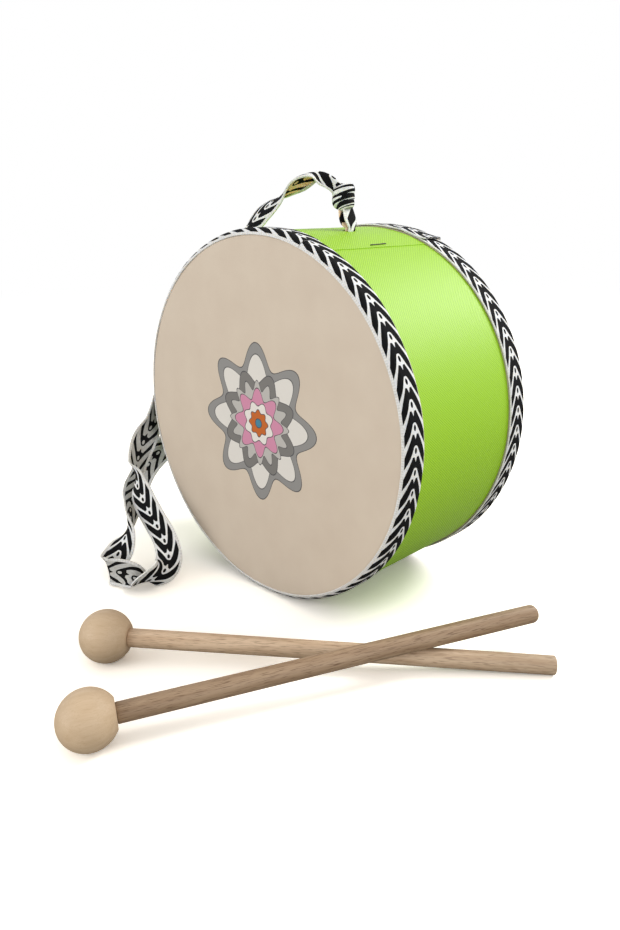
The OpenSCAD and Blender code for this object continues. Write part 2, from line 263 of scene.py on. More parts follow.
# The lapped end is a second layer that fades into the tube past the hidden start of the strip.
# Its edge is a lip that stands up a little and unevenly, and its weave is out of step with the
# tube's.
lap_arc = np.linspace(0, lap_w + lap_fade, 40)
lap_depths = np.linspace(skirt_l + lap_inset, drum_l - skirt_l - lap_inset, 37)
arcs, lap_ys = np.meshgrid(lap_arc, lap_depths, indexing="ij")
lift = lap_t * (1 - eased((arcs - lap_w) / lap_fade))
lift += lip_h * np.exp(-arcs / lip_w) * (1 + np.sin(lap_ys / lip_wave))
lap_degs = seam_deg + np.degrees(arcs / wrap_r)
lap_face = round_drum(wrap_r + lift, lap_degs, lap_ys)
lap_back = round_drum(wrap_r + np.maximum(lift - lap_t, 0) - lap_sunk, lap_degs, lap_ys)
lap_rows = np.concatenate([lap_face, lap_back[:, ::-1]], axis=1)
lap_weave = np.stack([np.radians(lap_degs) * wrap_r + lap_shift, lap_ys, 0 * lap_ys], axis=-1)
points.append(lap_rows.reshape(-1, 3))
paint.append(np.concatenate([lap_weave, lap_weave[:, ::-1]], axis=1).reshape(-1, 3))
faces += sheet_faces(len(lap_arc), len(lap_depths), 2 * under)

# Leatherette, PVC on a woven backing and embossed with a fine diagonal weave: bright, with a soft
# sheen. Its colour is painted paler on the raised threads, a painted highlight where they catch
# the light.
emboss_mm = 1.0
thread_degs = (40, 140)
wander_mm = 2.857
wander_turn = 1.2
fibre_mm = 0.625
fibre_share = 0.9
leatherette, tree, shader = new_finish("embossed_lime_leatherette", 0.5, 0.5)
place = add(tree, "Attribute", attribute_name="paint_mm")
wander = add(tree, "TexNoise", {"Vector": place.outputs["Vector"], "Scale": 1 / wander_mm,
                                "Detail": 2.0})
waves = []
for thread_deg in thread_degs:
    thread_way = (math.cos(math.radians(thread_deg)), math.sin(math.radians(thread_deg)), 0.0)
    off = add(tree, "VectorMath", {0: place.outputs["Vector"], 1: thread_way},
              operation="DOT_PRODUCT")
    turns = add(tree, "Math", {0: off.outputs["Value"], 1: math.tau / emboss_mm},
                operation="MULTIPLY")
    bent = add(tree, "Math", {0: wander, 1: wander_turn, 2: turns}, operation="MULTIPLY_ADD")
    waves.append(add(tree, "Math", {0: bent}, operation="SINE"))
threads = add(tree, "Math", {0: waves[0], 1: waves[1]}, operation="MAXIMUM")
fibre = add(tree, "TexNoise", {"Vector": place.outputs["Vector"], "Scale": 1 / fibre_mm,
                               "Detail": 3.0})
height = add(tree, "Math", {0: fibre, 1: fibre_share, 2: threads}, operation="MULTIPLY_ADD")
raised = add(tree, "MapRange", {"Value": height, "From Min": -0.6, "From Max": 1.9})
# Painted highlight: the colour grows paler with the height of the emboss, where raised threads catch
# the light
tone = add(tree, "ValToRGB", {"Fac": raised},
           [(0.0, linear("#6B9E04")), (0.5, linear("#8ABC0A")), (1.0, linear("#AEDA26"))])
tree.links.new(tone.outputs[0], shader.inputs["Base Color"])
emboss = add(tree, "Bump", {"Height": height, "Strength": 0.5, "Distance": 0.08 * MM})
tree.links.new(emboss.outputs[0], shader.inputs["Normal"])
cover = piece("leatherette_cover", np.concatenate(points), faces, leatherette, "drum",
              "cover_wrap", np.concatenate(paint))


# Lap staple: one flat steel wire staple, driven by hand across the lapped seam at mid depth. Its
# crown lies along the drum and sinks a little into the leatherette.
staple_in = 2.6
staple_deg = seam_deg + math.degrees(staple_in / wrap_r)
crown = 13.2
crown_rise = 0.3
crown_sag = 0.12
crown_r = wrap_r + lap_t + crown_rise
leg_depth = 3.0
wire_w = 0.65
wire_t = 0.45
wire_flat = 1.3
slant_deg = 3.0
corner_r = 0.9
quarter = np.radians(np.linspace(0, 90, 6))
leg_r = np.concatenate([[-leg_depth], -corner_r + corner_r * np.sin(quarter)])
leg_y = np.concatenate([[crown / 2], crown / 2 - corner_r + corner_r * np.cos(quarter)])
bow = np.linspace(leg_y[-1], -leg_y[-1], 15)[1:-1]
path_y = np.concatenate([leg_y, bow, -leg_y[::-1]])
staple_y = sum(span("wrap_staple", "y")) / 2
sag = crown_sag * np.cos(bow / crown * math.pi) ** 2
path_r = crown_r + np.concatenate([leg_r, -sag, leg_r[::-1]])
step_y = np.gradient(path_y)
step_r = np.gradient(path_r)
step = np.hypot(step_y, step_r)
corner = np.radians(np.arange(8) * 45 + 22.5)
half_w = wire_w / 2 * np.clip(wire_flat * np.cos(corner), -1, 1)
half_t = wire_t / 2 * np.clip(wire_flat * np.sin(corner), -1, 1)
ring_r = path_r[:, None] - (step_y / step)[:, None] * half_t
ring_y = path_y[:, None] + (step_r / step)[:, None] * half_t
skew = math.tan(math.radians(slant_deg)) * path_y[:, None]
ring_deg = staple_deg + np.degrees((half_w + skew) / crown_r)
points = round_drum(ring_r, ring_deg, staple_y + ring_y)
rows, cols = points.shape[:2]
faces = grid_faces(rows, cols, False, True)
faces += [tuple(range(cols)), tuple(range((rows - 1) * cols, rows * cols))]

# Drawn steel wire, rolled flat and darkened with age: dull grey, with fine drawing lines.
line_w_mm = 0.25
line_l_mm = 16.7
staple_wire, tree, shader = new_finish("rolled_steel_wire", 0.5)
shader.inputs["Metallic"].default_value = 1.0
place = add(tree, "TexCoord")
lines = add(tree, "Mapping", {"Vector": place.outputs["Object"],
                              "Scale": (1 / (line_w_mm * MM), 1 / (line_l_mm * MM),
                                        1 / (line_w_mm * MM))})
drawing = add(tree, "TexNoise", {"Vector": lines, "Scale": 1.0, "Detail": 2.0})
tone = add(tree, "ValToRGB", {"Fac": drawing},
           [(0.3, linear("#1F201C")), (0.7, linear("#3B3C35"))])
tree.links.new(tone.outputs[0], shader.inputs["Base Color"])
piece("lap_staple", points.reshape(-1, 3), faces, staple_wire, "drum",
      "wrap_staple")


# Heads: two membranes of coated synthetic hide, drawn wet over the bearing edges so that each has
# a flat face, a rounded rim and a skirt down the side. The skirt's cut edge is a little uneven
# and at the front shows as a thin line past the ribbon.

def turned(profile, steps, origin, axis, side):
    """Points of a turned piece: profile holds its places along the axis and radii, row by row."""
    axis = np.asarray(axis, dtype=float)
    side = np.asarray(side, dtype=float)
    other = np.cross(side, axis)
    turn = np.arange(steps) * math.tau / steps
    spoke = np.cos(turn)[:, None] * side + np.sin(turn)[:, None] * other
    profile = np.asarray(profile, dtype=float)
    return origin + profile[None, :, :1] * axis + profile[None, :, 1:] * spoke[:, None, :]


def turned_faces(steps, cols):
    """Faces of a turned piece, with a flat face at each end of its profile."""
    faces = grid_faces(steps, cols, True, False)
    faces.append(tuple(i * cols for i in range(steps)))
    faces.append(tuple(i * cols + cols - 1 for i in range(steps)))
    return faces


skirt_r = span("front_head", "x")[1]
head_t = 0.8
rim_r = 4.0
rim_turn = np.radians(np.linspace(90, 0, 13))
centre_r = 1.5
flat_rs = np.linspace(centre_r, skirt_r - rim_r, 24)[:-1]
outer = [(0.0, r) for r in flat_rs]
outer += [(rim_r - rim_r * math.sin(a), skirt_r - rim_r + rim_r * math.cos(a)) for a in rim_turn]
inner_r = rim_r - head_t
inner = [(rim_r - inner_r * math.sin(a), skirt_r - rim_r + inner_r * math.cos(a))
         for a in rim_turn[::-1]]
inner += [(head_t, r) for r in flat_rs[::-1]]
skirt_thin = 0.25
skirt_gap = 0.03
skirt_taper = 0.9
inner_side = skirt_r - head_t
skirt_edge = [(0.0, skirt_r), (0.0, inner_side + skirt_thin), (0.0, inner_side + skirt_gap)]
profile = outer + skirt_edge + inner
head_steps = 288
# Height in mm, waves in one turn and start of each wave in the skirt's cut edge
cut_waves = [(0.14, 5, 1), (0.1, 11, 0), (0.06, 29, 2)]
head = turned(profile, head_steps, np.zeros(3), (0, 1, 0), (1, 0, 0))
turn = np.arange(head_steps) * math.tau / head_steps
cut_edge = sum(high * np.sin(count * turn + start) for high, count, start in cut_waves)

# Coated synthetic hide, cast as a sheet: matt and beige, with a faint mottle and a fine tooth.
mottle_mm = 22.0
tooth_mm = 0.8


def new_hide(name):
    """The membrane's finish, with its colour left open for a print."""
    finish, tree, shader = new_finish(name, 0.55, 0.35)
    place = add(tree, "TexCoord")
    cloud = add(tree, "TexNoise", {"Vector": place.outputs["Object"],
                                   "Scale": 1 / (mottle_mm * MM), "Detail": 4.0})
    tone = add(tree, "ValToRGB", {"Fac": cloud},
               [(0.3, linear("#CEBEAB")), (0.7, linear("#D3C4B1"))])
    tooth = add(tree, "TexNoise", {"Vector": place.outputs["Object"],
                                   "Scale": 1 / (tooth_mm * MM), "Detail": 2.0})
    rough = add(tree, "Bump", {"Height": tooth, "Strength": 0.15, "Distance": 0.05 * MM})
    tree.links.new(rough.outputs[0], shader.inputs["Normal"])
    return finish, tree, shader, tone


plain_hide, tree, shader, tone = new_hide("coated_beige_hide")
tree.links.new(tone.outputs[0], shader.inputs["Base Color"])

# The front head carries a printed rosette: rings of petals, each a wavy-edged disc laid over the
# one below, with a thin dark outline.
printed_hide, tree, shader, tone = new_hide("printed_beige_hide")
place = add(tree, "TexCoord")
split = add(tree, "SeparateXYZ", {"Vector": place.outputs["Object"]})
from_axis = add(tree, "CombineXYZ", {"X": split.outputs["X"], "Y": split.outputs["Z"]})
far = add(tree, "VectorMath", {0: from_axis}, operation="LENGTH")
bearing = add(tree, "Math", {0: split.outputs["Z"], 1: split.outputs["X"]}, operation="ARCTAN2")
printed_mm = 1.5
front_side = add(tree, "Math", {0: split.outputs["Y"], 1: printed_mm * MM}, operation="LESS_THAN")
outline_mm = 0.55
# Each ring: mean radius in mm, depth of its petals in mm, petals, the share of a petal by which it
# is turned, and colour
rosette = [(37.0, 6.0, 8, 0.0, "#8D8B88"), (31.0, 6.0, 8, 0.0, "#DDD8D0"),
           (25.0, 3.6, 8, 0.5, "#787571"), (20.5, 2.6, 16, 0.0, "#B9B5AF"),
           (16.0, 3.0, 8, 0.0, "#CE8AA5"), (10.5, 1.2, 8, 0.5, "#E4DED6"),
           (6.5, 0.8, 8, 0.0, "#C1621E"), (2.2, 0.0, 8, 0.0, "#3F7F98")]
colour = tone.outputs[0]
for ring_r, petal_mm, petals, shift, ink in rosette:
    swing = add(tree, "Math", {0: bearing, 1: float(petals), 2: shift * math.tau},
                operation="MULTIPLY_ADD")
    wave = add(tree, "Math", {0: swing}, operation="COSINE")
    edge = add(tree, "Math", {0: wave, 1: petal_mm * MM, 2: ring_r * MM}, operation="MULTIPLY_ADD")
    for grow, shade in ((outline_mm * MM, "#4B4A4C"), (0.0, ink)):
        reach = add(tree, "Math", {0: edge, 1: grow}, operation="ADD")
        within = add(tree, "Math", {0: far.outputs["Value"], 1: reach}, operation="LESS_THAN")
        on_face = add(tree, "Math", {0: within, 1: front_side}, operation="MULTIPLY")
        laid = add(tree, "Mix", {"Factor": on_face, "A": colour, "B": linear(shade)},
                   data_type="RGBA")
        colour = laid.outputs["Result"]
tree.links.new(colour, shader.inputs["Base Color"])

# Each head: its solid, finish and name, and how far its skirt reaches
for node, finish, name, skirt in (("front_head", printed_hide, "front_membrane", 13.9),
                                  ("rear_head", plain_hide, "rear_membrane", 12.9)):
    points = head.copy()
    points[:, len(outer), 1] = skirt - skirt_taper + cut_edge
    for j in (len(outer) + 1, len(outer) + 2):
        points[:, j, 1] = skirt + cut_edge
    if node == "rear_head":
        points[:, :, 1] = drum_l - points[:, :, 1]
    piece(name, points.reshape(-1, 3), turned_faces(head_steps, len(profile)), finish, "drum",
          node)


# Head staples: a ring of wire staples through each skirt into the shell, which the ribbons hide.
# They are of the same wire as the lap staple.
for node in ("front_head_staples", "rear_head_staples"):
    frame["nodes"][node].data.materials.clear()
    frame["nodes"][node].data.materials.append(staple_wire)


# Trim ribbons: woven black and white chevron ribbon glued over each skirt and its staples, with one
# edge curled over the rim and the cut end lapped over the start. The rear one's end has come loose.

def ribbon(name, face, back, along, across, solid):
    """A ribbon from grids of points on its face and its reverse, with its woven coordinates."""
    rows, cols = face.shape[:2]
    points = np.concatenate([face, back[:, ::-1]], axis=1)
    along, across = np.broadcast_arrays(along, across)
    ones = np.ones_like(along)
    woven_face = np.stack([along, across, 0 * ones], axis=-1)
    woven_back = np.stack([along, across, ones], axis=-1)
    paint = np.concatenate([woven_face, woven_back[:, ::-1]], axis=1)
    return piece(name, points.reshape(-1, 3), sheet_faces(rows, cols), chevron_weave, "drum",
                 solid, paint.reshape(-1, 3))


# Polyester jacquard: black chevrons on white with plain white selvedges. The reverse is the
# negative, where the black threads float over a grey ground. Light sinks a little way into the
# cloth. Threads are drawn twice their size, so that they show.
repeat_mm = 10.5
pattern_half_mm = 6.4
thread_mm = 0.6
rung_mm = 1.3
slub_l_mm = 2.0
slub_w_mm = 0.3333
thread_share = 0.12
rung_share = 0.1
float_h = 0.6
painted_glow_mm = (50.0, 110.0)
ramp_mm = 16.0
chevron_weave, tree, shader = new_finish("jacquard_chevron_ribbon", 0.85, 0.1)
shader.inputs["Subsurface Weight"].default_value = 0.6
shader.inputs["Subsurface Radius"].default_value = (1.0, 0.9, 0.75)
shader.inputs["Subsurface Scale"].default_value = 1.0 * MM
place = add(tree, "Attribute", attribute_name="paint_mm")
split = add(tree, "SeparateXYZ", {"Vector": place.outputs["Vector"]})
along, across, reverse = split.outputs["X"], split.outputs["Y"], split.outputs["Z"]
off_centre = add(tree, "Math", {0: across}, operation="ABSOLUTE")
share = add(tree, "Math", {0: off_centre, 1: ramp_mm / 2}, operation="DIVIDE")
# How far a chevron's legs trail behind its point, and how long a leg is, against the distance
# from the ribbon's middle; both in mm
trail = [(0.0, 0.0), (0.6, 0.05), (1.15, 0.5), (2.1, 2.5), (3.6, 5.8), (6.9, 11.9)]
leg = [(0.0, 2.9), (0.9, 5.5), (1.3, 6.0), (2.1, 7.9), (3.6, 8.0), (5.0, 7.3), (6.4, 5.8)]
curves = []
for curve in (trail, leg):
    stops = [(off / (ramp_mm / 2), [mm / ramp_mm] * 3 + [1.0]) for off, mm in curve]
    read = add(tree, "ValToRGB", {"Fac": share}, stops)
    curves.append(add(tree, "Math", {0: read, 1: ramp_mm}, operation="MULTIPLY"))
behind = add(tree, "Math", {0: along, 1: curves[0]}, operation="ADD")
phase = add(tree, "Math", {0: behind, 1: repeat_mm}, operation="DIVIDE")
phase = add(tree, "Math", {0: phase}, operation="FRACT")
at_mm = add(tree, "Math", {0: phase, 1: repeat_mm}, operation="MULTIPLY")
in_leg = add(tree, "Math", {0: at_mm, 1: curves[1]}, operation="LESS_THAN")
# The small oval in the crook of each chevron
oval_at = 0.763
oval_l = 1.45
oval_w = 0.8
repeat = add(tree, "Math", {0: along, 1: repeat_mm}, operation="DIVIDE")
repeat = add(tree, "Math", {0: repeat}, operation="FRACT")
oval_y = add(tree, "Math", {0: repeat, 1: oval_at}, operation="SUBTRACT")
oval_y = add(tree, "Math", {0: oval_y, 1: repeat_mm / oval_l}, operation="MULTIPLY")
oval_x = add(tree, "Math", {0: off_centre, 1: oval_w}, operation="DIVIDE")
oval = add(tree, "CombineXYZ", {"X": oval_x, "Y": oval_y})
oval = add(tree, "VectorMath", {0: oval}, operation="LENGTH")
in_oval = add(tree, "Math", {0: oval.outputs["Value"], 1: 1.0}, operation="LESS_THAN")
black = add(tree, "Math", {0: in_leg, 1: in_oval}, operation="MAXIMUM")
in_pattern = add(tree, "Math", {0: off_centre, 1: pattern_half_mm}, operation="LESS_THAN")
# Threads: the warp runs along the ribbon and the weft across it
strands = []
for way in (along, across):
    strand = add(tree, "Math", {0: way, 1: math.tau / thread_mm}, operation="MULTIPLY")
    strands.append(add(tree, "Math", {0: strand}, operation="SINE"))
cloth = add(tree, "Math", {0: strands[0], 1: strands[1]}, operation="MULTIPLY")
slub = add(tree, "Mapping", {"Vector": place.outputs["Vector"],
                             "Scale": (1 / slub_l_mm, 1 / slub_w_mm, 1.0)})
slub = add(tree, "TexNoise", {"Vector": slub, "Scale": 1.0, "Detail": 3.0})
uneven = add(tree, "Math", {0: cloth, 1: thread_share, 2: slub}, operation="MULTIPLY_ADD")
white = add(tree, "ValToRGB", {"Fac": uneven},
            [(0.25, linear("#C8C8C6")), (0.6, linear("#E6E6E5"))])
dark = add(tree, "ValToRGB", {"Fac": uneven},
           [(0.3, linear("#070708")), (0.8, linear("#19191B"))])
grey = add(tree, "ValToRGB", {"Fac": uneven},
           [(0.25, linear("#A09F9B")), (0.7, linear("#CFCECA"))])
rung = add(tree, "Math", {0: along, 1: math.tau / rung_mm}, operation="MULTIPLY")
rung = add(tree, "Math", {0: rung}, operation="SINE")
rung = add(tree, "Math", {0: rung, 1: rung_share, 2: uneven}, operation="MULTIPLY_ADD")
hem = add(tree, "ValToRGB", {"Fac": rung}, [(0.2, linear("#BFBEBA")), (0.65, linear("#E4E3E0"))])
figure = add(tree, "Mix", {"Factor": black, "A": white.outputs[0], "B": dark.outputs[0]},
             data_type="RGBA")
face_tone = add(tree, "Mix", {"Factor": in_pattern, "A": hem.outputs[0],
                              "B": figure.outputs["Result"]}, data_type="RGBA")
# On the reverse the black lines are bolder, and in the strap's first loop the ground between them
# is painted tan, a painted glow of the warm light on the loop's underside
bold_mm = 1.3
short_leg = add(tree, "Math", {0: curves[1], 1: bold_mm}, operation="SUBTRACT")
ground = add(tree, "Math", {0: at_mm, 1: short_leg}, operation="LESS_THAN")
ground = add(tree, "Math", {0: ground, 1: in_oval}, operation="MAXIMUM")
# Painted glow: the reverse's ground is tan near the start of the ribbon, fading to grey from 50 to 110
# mm along it
tan = add(tree, "ValToRGB", {"Fac": uneven},
          [(0.25, linear("#E0B296")), (0.7, linear("#FFE2D0"))])
past_glow = add(tree, "MapRange", {"Value": along, "From Min": painted_glow_mm[0],
                               "From Max": painted_glow_mm[1]})
floats = add(tree, "Mix", {"Factor": past_glow, "A": tan.outputs[0], "B": grey.outputs[0]},
             data_type="RGBA")
negative = add(tree, "Mix", {"Factor": ground, "A": dark.outputs[0], "B": floats.outputs["Result"]},
               data_type="RGBA")
back_tone = add(tree, "Mix", {"Factor": in_pattern, "A": hem.outputs[0],
                              "B": negative.outputs["Result"]}, data_type="RGBA")
tone = add(tree, "Mix", {"Factor": reverse, "A": face_tone.outputs["Result"],
                         "B": back_tone.outputs["Result"]}, data_type="RGBA")
tree.links.new(tone.outputs["Result"], shader.inputs["Base Color"])
thickness = add(tree, "Math", {0: black, 1: float_h, 2: uneven}, operation="MULTIPLY_ADD")
rough = add(tree, "Bump", {"Height": thickness, "Strength": 0.4, "Distance": 0.15 * MM})
tree.links.new(rough.outputs[0], shader.inputs["Normal"])

trim_r = span("front_trim", "x")[1]
trim_w = span("front_trim", "y")[1]
trim_t = trim_r - skirt_r
trim_gap = 0.05
trim_lap = 15.0
trim_fade = 12.0
lap_layer = 0.45
loose_l = 7.0
edge_w = 1.2
edge_drop = 0.45
edge_wave = 0.12
edge_wave_l = 9.0


def trim_profile(reach, straight, bend_r, lift):
    """Radius and depth along the ribbon's width, from its free edge straight over the side of the
    drum and then round a bend over the rim, at lifts over its face."""
    over = np.maximum(reach - straight, 0) / bend_r
    bend_at = bend_r - trim_t
    radius = trim_r - bend_r + (bend_r + lift) * np.cos(over)
    depth = np.where(reach < straight, bend_at + straight - reach + 0 * lift,
                     bend_at - (bend_r + lift) * np.sin(over))
    return radius, depth


# Each ribbon: name, solid, angle of its lapped end, start of its weave, lift of its end, how far its
# free edge is from the drum's end, radius of its bend, how far it curls over in degrees, and the
# middle of its weave
trims = [("front_ribbon", "front_trim", 70.0, 5.45, 0.0, trim_w, rim_r + trim_t, 71, 6.7),
         ("rear_ribbon", "rear_trim", 66.0, 3.76, 1.1, 13.3, 1.8, 70, 7.1)]
for name, node, lap_deg, pattern_phase, loose_end, edge_at, bend_r, curl_deg, pattern_in in trims:
    lap_span = math.degrees(trim_lap / trim_r)
    degs = np.linspace(lap_deg, lap_deg + 360 + lap_span, 440)
    arc = np.radians(degs - lap_deg) * trim_r
    layer = lap_layer * (1 - eased((arc - trim_lap) / trim_fade))
    layer = layer + loose_end * np.clip(1 - arc / loose_l, 0, 1) ** 2
    curl = math.radians(curl_deg) * bend_r
    straight = edge_at + trim_t - bend_r
    reach = np.concatenate([[0, 0.3, 0.7], np.linspace(edge_w, straight, 9),
                            straight + np.linspace(0, curl, 9)[1:]])
    thinned = edge_drop * np.clip(1 - reach / edge_w, 0, 1) ** 2
    sides = []
    for lift in (-thinned, trim_gap - trim_t):
        radius, depth = trim_profile(reach[None, :], straight, bend_r, lift + layer[:, None])
        depth = depth + edge_wave * np.sin(arc / edge_wave_l)[:, None]
        if node == "rear_trim":
            depth = drum_l - depth
        sides.append(round_drum(radius, degs[:, None], depth))
    woven_along = np.radians(degs)[:, None] * trim_r + pattern_phase
    woven_across = (reach - pattern_in)[None, :]
    made = ribbon(name, sides[0], sides[1], woven_along, woven_across, node)


# Neck strap: the same ribbon, about half a metre of it between two knots. It leaves the top knot in
# a loop, lies down the drum's left side to the floor, twists there and comes back up to the side
# knot. Close to the knots it is gathered into pleats.

# A point of the strap's route, the direction across the ribbon, and the ribbon's curl in degrees
strap_route = [
    ((11, 53, 118), (-0.3, 0.9, 0.3), 60),
    ((9, 51, 121), (-0.3, 0.9, 0.3), 50),
    ((6, 48, 124), (-0.3, 0.9, 0.3), 70),
    ((1, 44, 126), (-0.4, 0.9, -0.05), 95),
    ((-7, 39, 122), (-0.45, 0.85, -0.4), 85),
    ((-16, 36, 115), (-0.7, 0.6, 0), 80),
    ((-25, 33, 109), (-0.8, 0.5, 0.45), 55),
    ((-34, 31, 102), (-0.82, 0.45, 0.5), 45),
    ((-47, 29, 92), (-0.4, 0.9, 0.2), 20),
    ((-71, 27, 73), (0, 1, 0), 10),
    ((-89, 23, 49), (0, 1, 0), 10),
    ((-100, 16, 22), (-0.25, 0.97, 0), 10),
    ((-104, 9, 0), (-0.42, 0.9, 0), 10),
    ((-105, 3, -17), (-0.2, 1, 0), 15),
    ((-105, -6, -30), (0.3, 1, 0), 20),
    ((-103, -14, -43), (-0.3, 0.9, 0), 25),
    ((-94, -20, -51), (-0.8, 0, -0.5), 20),
    ((-84, -23, -59), (-0.7, -0.55, -0.6), 20),
    ((-71, -25, -68), (-0.75, -0.55, -0.6), 25),
    ((-60, -26, -77), (-0.75, -0.6, -0.4), 30),
    ((-52, -29, -85), (-0.7, -0.6, 0.1), 30),
    ((-47, -35, -89), (-0.4, -0.3, 0.7), 20),
    ((-46, -42, -91), (0.2, 0, 1), 10),
    ((-49, -47, -93), (0.5, -0.4, 0.7), 10),
    ((-54, -49, -95), (0.4, -0.8, 0), 20),
    ((-60, -51, -92), (0.3, -0.4, -0.8), 15),
    ((-66, -54, -91), (0.2, -0.2, -1), 15),
    ((-72, -57, -91), (0.3, 0, -1), 15),
    ((-77, -54, -90), (0.2, 0.1, -1), 10),
    ((-77, -47, -84), (0.6, 0.1, -0.6), 10),
    ((-81, -38, -75), (0.8, -0.4, -0.1), 10),
    ((-91, -29, -67), (0.5, -0.8, 0.4), 20),
    ((-103, -18, -62), (-0.1, -0.8, 0.4), 20),
    ((-111, -7, -56), (-0.6, -0.5, 0.2), 20),
    ((-114, 2, -49), (-0.6, -0.4, 0.4), 20),
    ((-114, 12, -42), (-0.5, -0.5, 0.5), 20),
    ((-113, 23, -36), (-0.3, -0.7, 0.6), 30),
    ((-112, 34, -31), (0, -0.8, 0.6), 40),
    ((-111, 43, -28), (0, -0.8, 0.6), 60)]
strap_w = 16.0
strap_t = 0.9
strap_rows = 390
strap_phase = 2.0
least_curl = 0.01
gathered = 0.5
open_points = 3
pleat_h = 2.4
pleat_count = 3


def smooth_route(values, places):
    """A smooth curve through a row of values, read at places counted in route points."""
    values = np.asarray(values, dtype=float).reshape(len(values), -1)
    last = len(values) - 1
    i = np.minimum(places.astype(int), last - 1)
    t = (places - i)[:, None]
    a = values[np.maximum(i - 1, 0)]
    b = values[i]
    c = values[i + 1]
    d = values[np.minimum(i + 2, last)]
    return 0.5 * (2 * b + (c - a) * t + (2 * a - 5 * b + 4 * c - d) * t ** 2
                  + (3 * b - a - 3 * c + d) * t ** 3)


def unit(vectors):
    """Vectors drawn to length one."""
    return vectors / np.linalg.norm(vectors, axis=-1, keepdims=True)


def ribbon_sides(middle, across, section_x, section_n, thickness):
    """Grids of the face and the reverse of a ribbon swept along a middle line.
    A section is a line of places across the ribbon and heights over it."""
    tangent = unit(np.gradient(middle, axis=0))
    across = unit(across - (across * tangent).sum(1, keepdims=True) * tangent)
    normal = np.cross(across, tangent)
    step_x = np.gradient(section_x, axis=1)
    step_n = np.gradient(section_n, axis=1)
    step = np.hypot(step_x, step_n)
    sides = []
    for half in (thickness / 2, -thickness / 2):
        x = section_x - half * step_n / step
        n = section_n + half * step_x / step
        sides.append(middle[:, None] + x[..., None] * across[:, None] + n[..., None] * normal[:, None])
    return sides


def run_length(line):
    """Distance along a line of points, from its start."""
    steps = np.linalg.norm(np.diff(line, axis=0), axis=1)
    return np.concatenate([[0], np.cumsum(steps)])


route_end = len(strap_route) - 1
places = np.linspace(0, route_end, strap_rows)
middle = smooth_route([row[0] for row in strap_route], places)
turned_to = smooth_route([row[1] for row in strap_route], places)
curl = np.radians(smooth_route([row[2] for row in strap_route], places))
from_knot = np.minimum(places, route_end - places)
opened = np.minimum(1, gathered + (1 - gathered) * from_knot / open_points)
half_across = np.linspace(-strap_w / 2, strap_w / 2, 25)[None, :]
bend = np.maximum(curl, least_curl) / strap_w
section_x = opened[:, None] * np.sin(bend * half_across) / bend
pleat_turn = half_across / strap_w * pleat_count * math.pi
pleats = pleat_h * np.sqrt(1 - opened ** 2)[:, None] * np.cos(pleat_turn)
section_n = -(1 - np.cos(bend * half_across)) / bend + pleats
face, back = ribbon_sides(middle, turned_to, section_x, section_n, strap_t)
strap_run = run_length(middle)
strap = ribbon("neck_strap", face, back, strap_run[:, None] + strap_phase, half_across, "strap")


# Strap ends: at each hole the ribbon is folded in three, passed through cover and shell, tied in a
# stop knot inside and in a knot outside. The knots are the same ribbon, pulled tight.

def knot(name, centre, axis, diameter, length, turns, start_deg, solid):
    """A tied knot: the gathered ribbon wound about the strap's own line."""
    side = np.array([0.0, 1.0, 0.0])
    front = np.cross(side, axis)
    u = np.linspace(0, 1, 140)
    band_h = 0.4 * length
    band_t = 0.36 * diameter
    band_hollow = 0.7
    winding_r = diameter / 2 - band_t / 2
    tuck_share = 0.12
    uneven_mm = 1.2
    radius = winding_r * eased(np.minimum(u, 1 - u) / tuck_share)
    turn = np.radians(start_deg) + math.tau * turns * u
    rise = (u - 0.5) * (length - band_h)
    spoke = np.cos(turn)[:, None] * front + np.sin(turn)[:, None] * side
    shift = uneven_mm * (2 * u - 1)[:, None] * unit(front + side)
    line = centre + rise[:, None] * axis + radius[:, None] * spoke + shift
    tangent = unit(np.gradient(line, axis=0))
    outward = unit(spoke - (spoke * tangent).sum(1, keepdims=True) * tangent)
    upward = np.cross(tangent, outward)
    round_deg = np.linspace(-168, 168, 33)[None, :]
    round_it = np.radians(round_deg)[..., None]
    sides = []
    for share in (1.0, band_hollow):
        sides.append(line[:, None] + share * (band_t / 2 * np.cos(round_it) * outward[:, None]
                                              + band_h / 2 * np.sin(round_it) * upward[:, None]))
    # The folds of the gathered band show three strips of the weave, from near its middle to its edge,
    # and its length is drawn together
    drawn_in = 0.35
    strips = 3
    strip_deg = 20
    strip_mm = (1.0, 6.9)
    along = drawn_in * run_length(line)[:, None]
    swing = np.cos(np.radians(strips * round_deg + strip_deg))
    across = (strip_mm[0] + strip_mm[1]) / 2 - (strip_mm[1] - strip_mm[0]) / 2 * swing
    return ribbon(name, sides[0], sides[1], along, across, solid)


